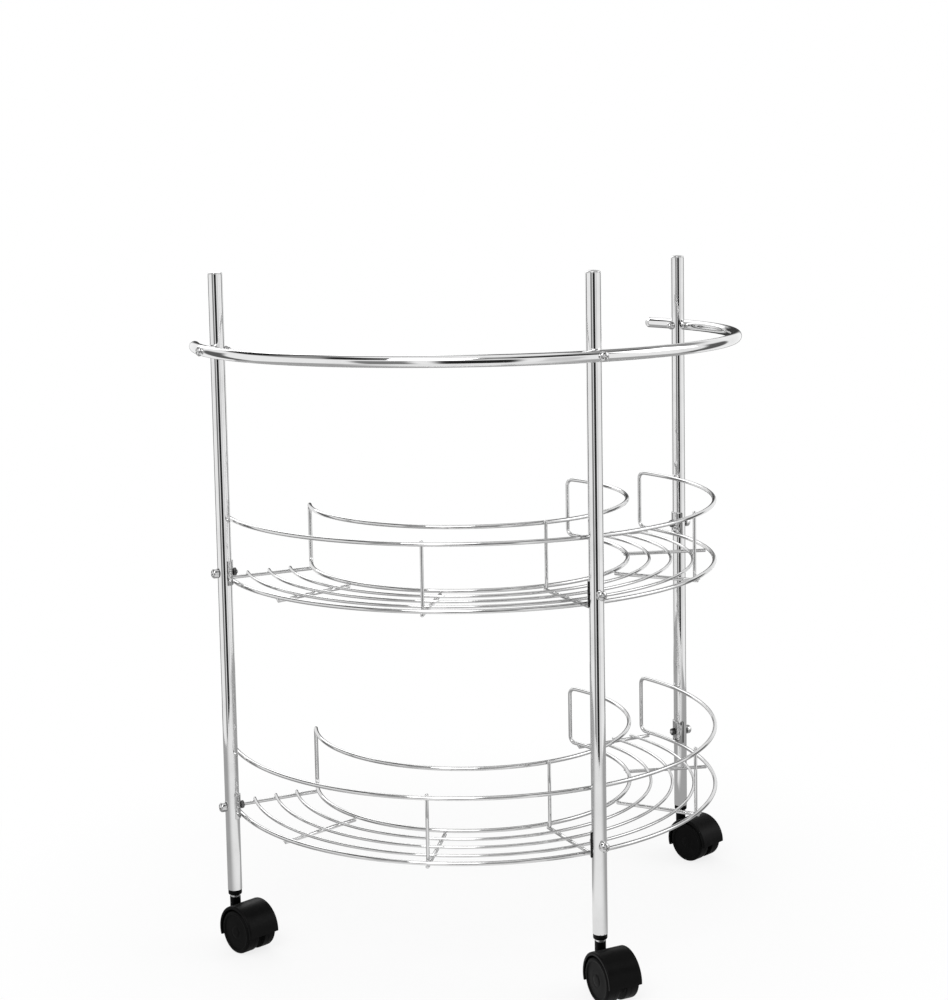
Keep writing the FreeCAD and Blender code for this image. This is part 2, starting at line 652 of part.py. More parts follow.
def caster_wheel(side, name, sign):
    """A moulded wheel with a closed, slightly sunk outer face and a blind bore."""
    body = new_body(f"caster_{side}_wheel_{name}")
    profile = sketch_on(body, "XY_Plane", WHEEL_R, across="Sizes.trail")
    mirror = "" if sign > 0 else "-"
    inner = f"{mirror}{HALF_PART}"
    outer = f"{mirror}{WHEEL_FACE}"
    sunk = f"{mirror}({WHEEL_FACE} - Sizes.face_deep)"
    wall = f"{mirror}{BORE_END}"
    bore = "(Sizes.axle_dia / 2 + Sizes.run_gap)"
    face = f"({WHEEL_R} - Sizes.face_rim)"
    outline(
        profile,
        [
            (bore, inner),
            (WHEEL_R, inner),
            (WHEEL_R, outer),
            (face, outer),
            (face, sunk),
            ("0", sunk),
            ("0", wall),
            (bore, wall),
        ],
    )
    revolve(body, profile)
    edge = rim_at("y", number(outer), number(WHEEL_R))
    dress(body, "Chamfer", "Sizes.wheel_slope", edge)
    return body


def caster(side, turn, swivel):
    """A twin-wheel swivel caster under one leg."""
    caster_socket(side, turn)
    pieces = [caster_stem(side), caster_hood(side), caster_axle(side)]
    pieces.append(caster_wheel(side, "inner", 1))
    pieces.append(caster_wheel(side, "outer", -1))
    for piece in pieces:
        under_leg(piece, turn, swivel)


for side, turn in SIDES.items():
    leg(side, turn)
    leg_plug(side, turn)
towel_rail()
rail_cap("left", f"-{RAIL_TURN}", False)
rail_cap("right", RAIL_TURN, True)
for name, floor in SHELVES.items():
    shelf(name, floor)
fasteners()
for side, turn in SIDES.items():
    caster(side, turn, f"Sizes.turn_{side}")

doc.recompute()
for piece in doc.Objects:
    if "Invalid" in piece.State or "Error" in piece.State:
        raise RuntimeError(f"{piece.Label} did not build: {piece.State}")
for piece in nodes:
    if piece.Shape.isNull() or not piece.Shape.isValid():
        raise RuntimeError(f"{piece.Label} has no valid shape")

os.makedirs("parts", exist_ok=True)
for piece in nodes:
    piece.Shape.exportStep(f"parts/{piece.Label}.step")
    solids = len(piece.Shape.Solids)
    print(f"{piece.Label}: {solids} solid(s), {piece.Shape.Volume:.1f} cubic millimetres")
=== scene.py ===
"""Looks of the horseshoe rack: round chromed tube and wire, plated fasteners and black casters.

Every shape here is a section carried along a path, a profile spun about an axis, or rings with a
radius for each turn, worked out with numpy in metres in the part's own frame. The places come from
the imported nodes.
"""
import json
from math import cos, pi, radians, sin, sqrt

import bpy
import numpy as np
from mathutils import Matrix, Vector


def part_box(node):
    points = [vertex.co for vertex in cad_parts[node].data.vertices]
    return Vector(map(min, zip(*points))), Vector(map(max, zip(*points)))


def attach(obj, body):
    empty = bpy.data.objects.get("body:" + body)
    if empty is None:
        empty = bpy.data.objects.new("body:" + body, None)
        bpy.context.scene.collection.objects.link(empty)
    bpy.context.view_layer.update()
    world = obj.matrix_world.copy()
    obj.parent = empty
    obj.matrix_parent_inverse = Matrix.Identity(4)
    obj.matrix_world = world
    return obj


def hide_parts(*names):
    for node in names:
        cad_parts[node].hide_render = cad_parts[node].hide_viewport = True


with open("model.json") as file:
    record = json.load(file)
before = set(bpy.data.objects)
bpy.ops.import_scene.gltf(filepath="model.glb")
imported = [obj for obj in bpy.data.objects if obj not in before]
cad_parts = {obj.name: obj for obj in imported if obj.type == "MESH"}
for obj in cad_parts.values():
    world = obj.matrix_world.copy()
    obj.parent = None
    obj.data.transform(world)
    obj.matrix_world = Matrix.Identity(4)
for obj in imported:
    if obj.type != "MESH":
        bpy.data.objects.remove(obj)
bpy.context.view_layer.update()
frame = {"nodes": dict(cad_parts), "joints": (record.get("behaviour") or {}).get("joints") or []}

# Directions, how much of an axis goes up when it counts as upright, and what the pieces are called
# by. Rungs are counted from the front.
UP = np.array([0.0, 0.0, 1.0])
LEVEL = (1.0, 0.0, 0.0)
SLANT = (0.31, 0.17, 0.93)
UPRIGHT = 0.9
SIDES = ("left", "front", "right")
SHELVES = ("lower", "upper")
FLOOR_ARCS = (1, 2, 3)
RUNGS = (-2, -1, 0, 1, 2)

# Round wires and tubes that stand for the faceted solids. For 1 of round wire, a flat is half the
# faceted section's width across its flats, and a reach is half its width across its corners.
LOOP_WIRE = 0.0040
FLOOR_WIRE = 0.0030
RUNG_WIRE = 0.0036
POST_WIRE = 0.0032
RAIL_TUBE = 0.0110
WIRE_FLAT = 0.952 / 2
WIRE_REACH = WIRE_FLAT / cos(pi / 6)
RAIL_FLAT = 0.974 / 2
RAIL_REACH = RAIL_FLAT / cos(pi / 8)

# Bends and turns of the wires, and how far the square cut of an arc's end reaches behind the end
# of its middle line.
LOOP_BEND = 0.0070
RUNG_TURN = radians(36)
RAIL_CUT = 0.0012
FLOOR_CUT = 0.0004

# Tubes, their plugs and caps, and the collars of the casters. The widths of a plug's or cap's foot,
# bevel and dome are for 1 of the tube's, and a dome stops just short of its pole.
TUBE_EASE = 0.0004
TUBE_STEP = 0.0020
PLUG_FOOT = 0.97
PLUG_LIP = 0.0004
CAP_FOOT = 0.96
CAP_BEVEL = 0.985
CAP_SEAM = 0.0003
CAP_DOME = 0.0043
DOME_WIDE = 0.99
DOME_TURN = 0.98 * pi / 2
COLLAR_EDGE = 0.0015
COLLAR_MOUTH = 0.00375
COLLAR_BEVEL = 0.0003
COLLAR_STEP = 0.0004
COLLAR_PLUG_STEP = 0.0009
COLLAR_PLUG_TOP = 0.0120

# Welds, saddles, screws and nuts. The fade of the painted shade along a saddle's edge is for 1 of
# its width. The widths of a head's foot, of its rings from the rim to the middle and of its
# steepest ring are for 1 of the head's, and those of a nut's face and dome for 1 of its flats. The
# seat is for
# 1 of the face.
WELD_LONG = 0.0023
WELD_HALF = 0.0011
FIT_GAP = 0.00005
SADDLE_SHEET = 0.0012
SADDLE_EDGE = 0.0005
SADDLE_OPEN = 0.0010
# Painted shade along a saddle's first edge: its width, fade and grey.
SADDLE_SHADE_EDGE = 0.0012
SHADE_EDGE_FADE = 0.3
SHADE_EDGE_GREY = 0.015
SCREW_SHANK = 0.0040
SCREW_TIP = 0.0015
SCREW_HEAD = 0.0095
SCREW_DOME = 0.0031
HEAD_EDGE = 0.0003
HEAD_FOOT = 0.985
HEAD_RINGS = np.linspace(0.99, 0.02, 34)
HEAD_STEEPEST = 0.995
RAIL_HEAD_TALL = 0.0040
SHELF_HEAD_TALL = 0.0065
CROSS_ARM = 0.0027
CROSS_HALF = 0.00062
CROSS_DEEP = 0.0017
CROSS_SLOPE = 0.00016
CROSS_FADE = 0.0007
THREAD_PITCH = 0.0007
THREAD_DEEP = 0.00022
THREAD_NOSE = 0.0004
THREAD_TAPER = 0.0006
NUT_FLATS = 0.0070
NUT_TALL = 0.0032
NUT_STEPS = np.array([0.0, 0.0002, 0.0006, 0.0012])
NUT_SEAT = 0.55
NUT_FACE = 0.98
NUT_CONE = 1.7
NUT_MOUTH_EASE = 0.0003
NUT_MOUTH_DEEP = 0.0005
NUT_DOME_WIDE = 0.94
NUT_DOME_TALL = 0.0036
NUT_DOME_TURN = 0.97 * pi / 2

# Caster wheels: inner and outer face from the hood's middle, rounded edges, and points of the
# profile as (along the axle, away from it), measured from the inner face's edge for the back and
# the tread's groove, from the outer face's edge for the rim, and from the outer face's middle for
# the hub.
WHEEL_NEAR = 0.0035
WHEEL_FAR = 0.0170
WHEEL_BORE = 0.0030
WHEEL_EASE = 0.0008
WHEEL_SHOULDER = 0.0026
WHEEL_BACK = ((0.0, -0.0060), (0.0006, -0.0054))
WHEEL_GROOVE = ((0.0045, 0.0), (0.0048, -0.00025), (0.0051, 0.0))
WHEEL_RIM = ((0.0, -0.0034), (-0.0002, -0.0038), (-0.0009, -0.0042), (-0.0010, -0.0050))
WHEEL_HUB = (
    (-0.0006, 0.0100), (-0.0004, 0.0064), (-0.0005, 0.0058),
    (-0.0002, 0.0054), (-0.0001, 0.0030), (-0.0001, 0.0004),
)

# The photograph's camera: frame height and focal length in pixels, place in metres, turns in
# radians, the middle of the frame above the line of sight, for 1 of the frame's height, and how
# far it sees in metres.
FRAME_TALL = 1000
FOCAL = 1842.9
CAMERA_AT = (-0.8165, -1.6767, 0.7281)
CAMERA_YAW = 0.4572
CAMERA_PITCH = -0.1086
CAMERA_ROLL = -0.0180
CAMERA_SHIFT = -0.10
CAMERA_FAR = 60.0

# The studio's floor disc: its size, the greys of its paper, how white its middle is to the camera
# and how far out that goes over to full white, the greys that mirrors see away from the camera and
# towards it, and the cosines between which these change.
FLOOR_REACH = 0.95
FLOOR_PAPER = (0.86, 0.90)
FLOOR_WHITE = 0.80
FLOOR_FADE = (0.20, 0.62)
FLOOR_MIRROR = (0.42, 0.95)
FLOOR_NEAR = (0.45, 0.97)

# The room's light, and the upright dark gaps that mirrors see in it, as (turn from the camera's
# heading in degrees, half width in degrees, depth). Then the share of a gap's half width over which
# its edge fades, the heights over which it ends, those over which the dark ring overhead comes and
# goes, the noise and the strengths that break the ring, and the light in full dark.
ROOM_LIGHT = 0.62
GAPS = (
    (175, 16, 1.0), (140, 8, 0.35), (-146, 12, 0.7),
    (55, 10, 0.8), (-55, 10, 0.8), (0, 14, 0.9),
)
GAP_FADE = 0.35
GAP_TOP = (0.12, 0.34)
RING_LOW = (0.40, 0.56)
RING_HIGH = (0.84, 0.95)
RING_NOISE = (0.40, 0.52)
RING_DARK = (0.62, 1.0)
DARKEST = 0.02

# Soft lamps as (name, place, point they face, width, power).
LAMPS = (
    ("key_lamp", (-1.6, -1.8, 2.6), (0, 0, 0.3), 1.6, 38),
    ("fill_lamp", (2.2, -1.2, 1.8), (0, 0, 0.3), 1.8, 18),
    ("back_lamp", (0.3, 2.4, 2.0), (0, 0, 0.4), 1.6, 16),
)


def unit(v):
    """A vector or rows of vectors, each divided by its length."""
    v = np.asarray(v, float)
    return v / np.linalg.norm(v, axis=-1, keepdims=True)


def node_box(node):
    """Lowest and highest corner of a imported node, as arrays."""
    low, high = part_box(node)
    return np.array(low), np.array(high)


def upright_at(node, level):
    """Point at a level on the upright line through a node's middle."""
    low, high = node_box(node)
    return np.array([*(low + high)[:2] / 2, level])


def half_wide(node):
    """Half of a node's width, which is the radius of an upright round one."""
    low, high = node_box(node)
    return (high[0] - low[0]) / 2


def circle(count):
    """Unit circle: cosine and sine of evenly spaced turns."""
    t = np.arange(count) * 2 * pi / count
    return np.stack([np.cos(t), np.sin(t)], -1)


def shell(rings, place, ends=None):
    """Vertices, faces and map of a grid of rings, each a closed row of points.

    Quads join each ring to the next. The map's u is a ring's place and its v goes once round. Fans
    close the grid on its two end points, and without these the last ring joins the first.
    """
    count, points = rings.shape[:2]
    spans = np.arange(count if ends is None else count - 1)
    i, j = (n.ravel() for n in np.meshgrid(spans, np.arange(points), indexing="ij"))
    here, there, beside = i * points, (i + 1) % count * points, (j + 1) % points
    faces = [np.stack([here + j, here + beside, there + beside, there + j], -1)]
    u = np.stack([place[i], place[i], place[i + 1], place[i + 1]], -1)
    v = np.stack([j, j + 1, j + 1, j], -1) / points
    maps = [np.stack([u, v], -1)]
    verts = rings.reshape(-1, 3)
    if ends is None:
        return verts, faces, maps
    k = np.arange(points)
    for ring, pole, way in ((0, len(verts), 1), (count - 1, len(verts) + 1, -1)):
        first = ring * points
        fan = np.stack([np.full(points, pole), first + (k + 1) % points, first + k], -1)
        faces.append(fan[:, ::way])
        v = np.stack([k, k + 1, k], -1) / points
        maps.append(np.stack([np.full((points, 3), place[ring]), v], -1))
    return np.concatenate([verts, ends]), faces, maps


def sweep(section, centres, side, up, size, closed=False):
    """A section carried along a path.

    Point j of ring i is centre i plus size i times the section's point j, laid out on the side and
    up directions of ring i. The map's u is the length along the path.
    """
    count = len(centres)
    side, up = (np.broadcast_to(way, (count, 3))[:, None] for way in (side, up))
    across = section[None, :, :1] * side + section[None, :, 1:] * up
    rings = centres[:, None] + np.broadcast_to(size, count)[:, None, None] * across
    steps = np.linalg.norm(np.roll(centres, -1, axis=0) - centres, axis=1)
    place = np.concatenate([[0], steps.cumsum()])
    return shell(rings, place, None if closed else centres[[0, -1]])


def spun(base, axis, heights, radii, count):
    """A profile spun about an axis: ring i has its radius at its height along the axis.

    The rings begin square to a slanting direction, or to a level one where the axis is upright.
    """
    axis = unit(axis)
    side = unit(np.cross(axis, SLANT if abs(axis[2]) < UPRIGHT else LEVEL))
    centres = np.asarray(base, float) + np.asarray(heights, float)[:, None] * axis
    return sweep(circle(count), centres, side, np.cross(axis, side), np.asarray(radii, float))


def level_frame(axis):
    """An axis that isn't upright, with a level direction and a third one square to both."""
    axis = unit(axis)
    side = unit(np.cross(axis, UP))
    return axis, side, np.cross(axis, side)


def rings_about(base, axis, heights, radius, count):
    """Rings about an axis, each at its height, with a radius for each turn round it."""
    axis, side, up = level_frame(axis)
    around_axis = circle(count) @ np.stack([side, up])
    radius = np.broadcast_to(radius, (len(heights), count))[..., None]
    heights = np.asarray(heights, float)[:, None, None]
    return np.asarray(base, float) + heights * axis + radius * around_axis


def capped(rings):
    """Shell of a grid of rings, closed by fans on the middles of its first and last rings."""
    return shell(rings, np.linspace(0, 1, len(rings)), rings[[0, -1]].mean(1))


def piece(name, shells, finish, body, *nodes, sharp=None):
    """One object from several shells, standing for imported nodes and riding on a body."""
    verts = np.concatenate([points for points, _, _ in shells])
    faces = []
    maps = []
    start = 0
    for points, shell_faces, shell_maps in shells:
        for corners, uv in zip(shell_faces, shell_maps):
            faces += (corners + start).tolist()
            maps.append(uv.reshape(-1, 2))
        start += len(points)
    mesh = bpy.data.meshes.new(name)
    mesh.from_pydata(verts.tolist(), [], faces)
    layer = mesh.uv_layers.new(name="Along")
    layer.data.foreach_set("uv", np.concatenate(maps).astype(np.float32).ravel())
    mesh.polygons.foreach_set("use_smooth", np.ones(len(mesh.polygons), bool))
    if sharp is not None:
        mesh.set_sharp_from_angle(angle=radians(sharp))
    mesh.materials.append(finish)
    mesh.update()
    made = bpy.data.objects.new(name, mesh)
    bpy.context.scene.collection.objects.link(made)
    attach(made, body)
    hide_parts(*nodes)


def rounded(length, radius, steps=6):
    """Heights and radii of a straight rod whose ends are quarter ellipses half a radius deep."""
    t = np.linspace(0, pi / 2, steps)
    low = radius / 2 * (1 - np.cos(t))
    ends = radius * np.sin(t)
    heights = np.concatenate([low, length - low[::-1]])
    return heights[1:-1], np.concatenate([ends, ends[::-1]])[1:-1]


def rod(start, end, radius):
    """A straight wire between two points, with rounded cut ends."""
    heights, radii = rounded(np.linalg.norm(end - start), radius)
    return spun(start, end - start, heights, radii, count=18)


def around(radius, turn, level):
    """Points on an upright cylinder about the horseshoe's axis; turn 0 is the front."""
    turn = np.asarray(turn, float)
    return np.stack([radius * np.sin(turn), -radius * np.cos(turn), level + 0 * turn], -1)


def outward(turn):
    """Directions away from the horseshoe's axis."""
    return around(1.0, turn, 0.0)


def ahead(turn):
    """Directions along the horseshoe, towards growing turns."""
    turn = np.asarray(turn, float)
    return np.stack([np.cos(turn), np.sin(turn), 0 * turn], -1)


def turn_of(point):
    """Turn about the horseshoe's axis at which a point lies."""
    return np.arctan2(point[0], -point[1])


class Sock:
    """A shader socket with arithmetic: each operation adds one Math node."""

    def __init__(self, look, socket):
        self.look = look
        self.socket = socket

    def _math(self, operation, first, second):
        """A Math node on two values or sockets."""
        return self.look.add("ShaderNodeMath", {"operation": operation}, {0: first, 1: second})

    def __add__(self, other):
        return self._math("ADD", self, other)

    def __radd__(self, other):
        return self._math("ADD", other, self)

    def __sub__(self, other):
        return self._math("SUBTRACT", self, other)

    def __rsub__(self, other):
        return self._math("SUBTRACT", other, self)

    def __mul__(self, other):
        return self._math("MULTIPLY", self, other)

    def __rmul__(self, other):
        return self._math("MULTIPLY", other, self)


class Look:
    """A material or world under construction."""

    def __init__(self, owner):
        self.owner = owner
        owner.use_nodes = True
        self.tree = owner.node_tree
        self.tree.nodes.clear()

    def add(self, kind, settings=None, sockets=None, out=0):
        """Add a node: its settings first, then the values or links of its sockets."""
        made = self.tree.nodes.new(kind)
        for key, value in (settings or {}).items():
            setattr(made, key, value)
        for key, value in (sockets or {}).items():
            if isinstance(value, Sock):
                self.tree.links.new(value.socket, made.inputs[key])
            else:
                made.inputs[key].default_value = value
        return Sock(self, made.outputs[out]) if made.outputs else None

    def noise(self, vector, scale, detail):
        """Noise between 0 and 1 on a vector, with so many waves to 1 of its length."""
        sockets = {"Vector": vector, "Scale": scale, "Detail": detail, "Roughness": 0.55}
        return self.add("ShaderNodeTexNoise", {}, sockets)

    def span(self, value, low, high, to_low=0.0, to_high=1.0):
        """A smooth step of a value from one range to another."""
        settings = {"interpolation_type": "SMOOTHSTEP"}
        sockets = {0: value, 1: low, 2: high, 3: to_low, 4: to_high}
        return self.add("ShaderNodeMapRange", settings, sockets)

    def blend(self, factor, first, second):
        """A mix of two colours, by the node's colour sockets 6 and 7 and its colour result 2."""
        sockets = {"Factor": factor, 6: first, 7: second}
        return self.add("ShaderNodeMix", {"data_type": "RGBA"}, sockets, out=2)

    def mix(self, factor, first, second):
        """A mix of two shaders."""
        return self.add("ShaderNodeMixShader", {}, {0: factor, 1: first, 2: second})

    def vector(self, operation, first, second=None, out="Vector"):
        """A Vector Math node on one or two vectors."""
        sockets = {0: first} if second is None else {0: first, 1: second}
        return self.add("ShaderNodeVectorMath", {"operation": operation}, sockets, out)

    def bump(self, height, distance):
        """A normal bent by a height that rises by a distance in metres."""
        return self.add("ShaderNodeBump", {}, {"Height": height, "Distance": distance})

    def place(self, kind="Object"):
        """Coordinates of a kind."""
        return self.add("ShaderNodeTexCoord", out=kind)

    def part(self, vector, axis):
        """One part of a vector."""
        return self.add("ShaderNodeSeparateXYZ", {}, {0: vector}, out=axis)

    def ray(self, kind):
        """One where the light path is of a kind, and otherwise nought."""
        return self.add("ShaderNodeLightPath", out=kind)

    def direct(self):
        """One for rays from the camera, straight or through something clear, otherwise nought."""
        seen = self.ray("Is Camera Ray")
        return seen + (1 - seen) * self.ray("Is Transmission Ray")

    def stretched(self, vector, scale):
        """A vector scaled along its own axes."""
        return self.add("ShaderNodeMapping", {}, {"Vector": vector, "Scale": scale})

    def glow(self, colour):
        """A surface that shows a colour as it is."""
        return self.add("ShaderNodeEmission", {}, {"Color": colour, "Strength": 1.0})

    def surface(self, **sockets):
        """Close a material with one principled surface."""
        shader = self.add("ShaderNodeBsdfPrincipled", {}, sockets)
        self.add("ShaderNodeOutputMaterial", {}, {"Surface": shader})
        return self.owner


def material(name):
    """A new material to build up."""
    return Look(bpy.data.materials.new(name))


def grey(level):
    """A neutral colour."""
    return (level, level, level, 1.0)


def plated(name, bright, dull, smear, ripple, shaded_edge=None):
    """Chrome plating: a clear mirror with faint smears, a slow ripple and fine polishing marks.

    Bright and dull are the greys of clean and smeared plating, smear is what a smear adds to the
    roughness, and ripple is the height of the waves in metres. A shaded edge width paints shade,
    a dark band on the sheet where its path begins.
    """
    look = material(name)
    place = look.place()
    clouds = look.noise(place, 26.0, 4.0)
    specks = look.noise(place, 900.0, 2.0)
    smears = look.span(clouds, 0.42, 0.78)
    tone = look.blend(smears, grey(bright), grey(dull))
    tone = look.blend(look.span(specks, 0.64, 0.76) * 0.3, tone, grey(dull * 0.8))
    # Painted shade: the sheet darkens to a near-black grey along the first edge of its path.
    if shaded_edge:
        along = look.part(look.place("UV"), "X")
        unshaded = look.span(along, (1 - SHADE_EDGE_FADE) * shaded_edge, (1 + SHADE_EDGE_FADE) * shaded_edge)
        tone = look.blend(unshaded, grey(SHADE_EDGE_GREY), tone)
    rough = 0.04 + smear * smears + 0.03 * specks
    wave = look.noise(place, 45.0, 1.0)
    marks = look.noise(look.stretched(place, (700.0, 700.0, 60.0)), 1.0, 2.0)
    lumps = look.bump(wave + 0.03 * marks, ripple)
    return look.surface(
        **{"Base Color": tone, "Metallic": 1.0, "Roughness": rough, "Normal": lumps}
    )


def moulded(name, dark, worn, gloss, shine, grain):
    """Black moulded plastic: fine grain, soft scuffs and a little dust that greys it.

    Dark and worn are the greys of clean and scuffed plastic, gloss is its least roughness, shine
    its specular level, and grain the height of the grain in metres.
    """
    look = material(name)
    place = look.place()
    clouds = look.noise(place, 60.0, 5.0)
    fine = look.noise(place, 2600.0, 2.0)
    scuffs = look.noise(look.stretched(place, (240.0, 900.0, 420.0)), 1.0, 4.0)
    wear = look.span(clouds, 0.5, 0.78) * 0.5 + look.span(scuffs, 0.6, 0.8) * 0.35
    tone = look.blend(wear, grey(dark), grey(worn))
    rough = gloss + 0.16 * wear + 0.06 * fine
    lumps = look.bump(fine + 0.3 * scuffs, grain)
    return look.surface(
        **{"Base Color": tone, "Roughness": rough, "Specular IOR Level": shine, "Normal": lumps}
    )


def turned_steel(name, bright, dull, ridge):
    """Zinc-plated turned steel with rings of tool marks, whose ridges have a height in metres."""
    look = material(name)
    place = look.place()
    rings = look.noise(look.stretched(place, (40.0, 40.0, 5200.0)), 1.0, 2.0)
    clouds = look.noise(place, 120.0, 3.0)
    tone = look.blend(look.span(clouds, 0.35, 0.7), grey(bright), grey(dull))
    rough = 0.2 + 0.15 * rings
    lumps = look.bump(rings, ridge)
    return look.surface(
        **{"Base Color": tone, "Metallic": 1.0, "Roughness": rough, "Normal": lumps}
    )


tube_chrome = plated("tube_chrome", 0.80, 0.72, 0.03, 0.00002)
wire_chrome = plated("wire_chrome", 0.70, 0.57, 0.08, 0.00003)
# Saddle plating, with painted shade along the edge where each sheet begins.
plate_chrome = plated("plate_chrome", 0.60, 0.47, 0.05, 0.00001, SADDLE_SHADE_EDGE)
nut_steel = plated("nut_steel", 0.12, 0.07, 0.12, 0.00001)
screw_chrome = plated("screw_chrome", 0.62, 0.50, 0.08, 0.00001)
hood_black = moulded("hood_black", 0.0018, 0.0065, 0.32, 0.08, 0.00002)
wheel_black = moulded("wheel_black", 0.0022, 0.0070, 0.45, 0.07, 0.00003)
stem_steel = turned_steel("stem_steel", 0.86, 0.68, 0.00004)


def leg_tube(side):
    """A round tube with eased ends: radius against height, spun about the leg's axis."""
    node = f"leg_{side}"
    low, high = node_box(node)
    length = high[2] - low[2]
    body = np.linspace(TUBE_STEP, length - TUBE_STEP, 40)
    heights = [0, TUBE_EASE, *body, length - TUBE_EASE, length]
    radii = np.full(len(heights), half_wide(node))
    radii[[0, -1]] -= TUBE_EASE
    made = spun(upright_at(node, low[2]), UP, heights, radii, count=64)
    piece(f"leg_tube_{side}", [made], tube_chrome, "frame", node, sharp=40)


def leg_dome(side):
    """The plug in a leg's top: a narrow lip and a shallow dome, a quarter ellipse spun."""
    node = f"leg_plug_{side}"
    tube = f"leg_{side}"
    tube_top = node_box(tube)[1][2]
    rise = node_box(node)[1][2] - tube_top - PLUG_LIP
    t = np.linspace(0, DOME_TURN, 12)[1:]
    heights = [0, PLUG_LIP, *(PLUG_LIP + rise * np.sin(t))]
    radii = half_wide(tube) * np.array([PLUG_FOOT, DOME_WIDE, *(DOME_WIDE * np.cos(t))])
    made = spun(upright_at(tube, tube_top), UP, heights, radii, count=64)
    piece(f"leg_dome_{side}", [made], tube_chrome, "frame", node, sharp=50)


def rail_places():
    """Radius, level and half turn of the towel rail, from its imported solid."""
    low, high = node_box("towel_rail")
    radius = -low[1] - RAIL_TUBE * RAIL_REACH
    half = pi / 2 + np.arcsin((high[1] - RAIL_CUT) / radius)
    return radius, (low[2] + high[2]) / 2, half


def towel_rail():
    """A round tube bent to an arc: a circle carried along the arc."""
    radius, level, half = rail_places()
    turns = np.linspace(-half, half, 260)
    made = sweep(circle(40), around(radius, turns, level), UP, outward(turns), RAIL_TUBE / 2)
    piece("rail_tube", [made], tube_chrome, "frame", "towel_rail")


def rail_end(side, sign):
    """The rounded cap of a rail end: a narrow seam and a quarter ellipse, spun about the rail."""
    radius, level, half = rail_places()
    t = np.linspace(0, DOME_TURN, 14)
    heights = [0, CAP_SEAM, *(CAP_SEAM + CAP_DOME * np.sin(t))]
    radii = RAIL_TUBE / 2 * np.array([CAP_FOOT, CAP_BEVEL, *(DOME_WIDE * np.cos(t))])
    base = around(radius, sign * half, level)
    made = spun(base, sign * ahead(sign * half), heights, radii, count=40)
    piece(f"rail_end_{side}", [made], tube_chrome, "frame", f"rail_cap_{side}", sharp=50)


def loop_line(radius, half, low, high):
    """Centre line of a closed loop with the section's directions.

    The floor arc runs to its end, a quarter bend turns it up, an upright climbs, a second bend
    turns it back, the guard arc returns, and the other end mirrors the first.
    """
    arc = np.linspace(-half, half, 220)
    bend = np.linspace(0, pi / 2, 14)[1:, None]
    climb = np.linspace(0, 1, 12)[1:-1, None]
    foot, top = low + LOOP_BEND, high - LOOP_BEND

    def level_arc(turns, level, up):
        """An arc with its directions."""
        return around(radius, turns, level), np.tile(up, (len(turns), 1)), outward(turns)

    def end(sign):
        """Bend, upright and bend at one end, going up at the first end and down at the other."""
        turn = np.full(1, sign * half)
        forth, base = sign * ahead(turn), around(radius, turn, 0)
        reach, rise = LOOP_BEND * np.sin(bend), LOOP_BEND * np.cos(bend)
        line = np.concatenate([
            base + forth * reach + UP * (foot - rise),
            base + forth * LOOP_BEND + UP * (foot + climb * (top - foot)),
            base + forth * rise + UP * (top + reach),
        ])
        ups = np.concatenate([
            UP * np.cos(bend) - forth * np.sin(bend),
            np.tile(-forth, (len(climb), 1)),
            -forth * np.cos(bend) - UP * np.sin(bend),
        ])
        return line[::sign], ups[::sign], np.tile(outward(turn), (len(line), 1))

    floor_edge = level_arc(arc, low, UP)
    guard = level_arc(arc[::-1][1:], high, -UP)
    last_end = (rows[1:] for rows in end(-1))
    return [np.concatenate(rows) for rows in zip(floor_edge, end(1), guard, last_end)]


def loop_radius(shelf, ring):
    """Radius of a loop's centre line, from the front of its six-sided solid."""
    return -node_box(f"{shelf}_{ring}_loop")[0][1] - LOOP_WIRE * WIRE_REACH


def loop_levels(shelf, ring):
    """Levels of a loop's floor edge and guard."""
    low, high = node_box(f"{shelf}_{ring}_loop")
    return low[2] + LOOP_WIRE * WIRE_FLAT, high[2] - LOOP_WIRE * WIRE_FLAT


def loop_end(radius, back):
    """Turn at which a loop's arcs end, so that its uprights reach the back of its solid.

    Each step turns the end on by what is still missing, as an angle.
    """
    half = pi / 2
    for _ in range(30):
        upright = radius * sin(half - pi / 2) + LOOP_BEND * cos(half - pi / 2)
        half += (back - upright - LOOP_WIRE / 2) / radius
    return half


def wire_loop(shelf, ring):
    """A closed loop of round wire: floor edge below and guard above."""
    node = f"{shelf}_{ring}_loop"
    radius = loop_radius(shelf, ring)
    half = loop_end(radius, node_box(node)[1][1])
    line, ups, outs = loop_line(radius, half, *loop_levels(shelf, ring))
    made = sweep(circle(20), line, ups, outs, LOOP_WIRE / 2, closed=True)
    piece(f"{shelf}_{ring}_wire", [made], wire_chrome, "frame", node)


def arc_radius(shelf, number):
    """Radius of a floor arc's centre line, from the front of its six-sided solid."""
    return -node_box(f"{shelf}_floor_arc_{number}")[0][1] - FLOOR_WIRE * WIRE_REACH


def floor_arc(shelf, number):
    """A floor wire bent to the horseshoe, with rounded cuts: a circle carried along the arc."""
    node = f"{shelf}_floor_arc_{number}"
    low, high = node_box(node)
    radius = arc_radius(shelf, number)
    half = pi / 2 + np.arcsin((high[1] - FLOOR_CUT) / radius)
    heights, radii = rounded(2 * half * radius, FLOOR_WIRE / 2)
    nose = len(heights) // 2
    body = np.linspace(heights[nose - 1], heights[nose], 200)[1:-1]
    heights = np.concatenate([heights[:nose], body, heights[nose:]])
    radii = np.concatenate([radii[:nose], np.full(len(body), FLOOR_WIRE / 2), radii[nose:]])
    turns = heights / radius - half
    centres = around(radius, turns, (low[2] + high[2]) / 2)
    made = sweep(circle(16), centres, UP, outward(turns), radii)
    piece(f"{shelf}_floor_wire_{number}", [made], wire_chrome, "frame", node)


def weld(at, along):
    """A small weld between crossing wires: an ellipse spun about its long axis."""
    t = np.linspace(0, pi, 11)[1:-1]
    return spun(at, along, -WELD_LONG * np.cos(t), WELD_HALF * np.sin(t), count=12)


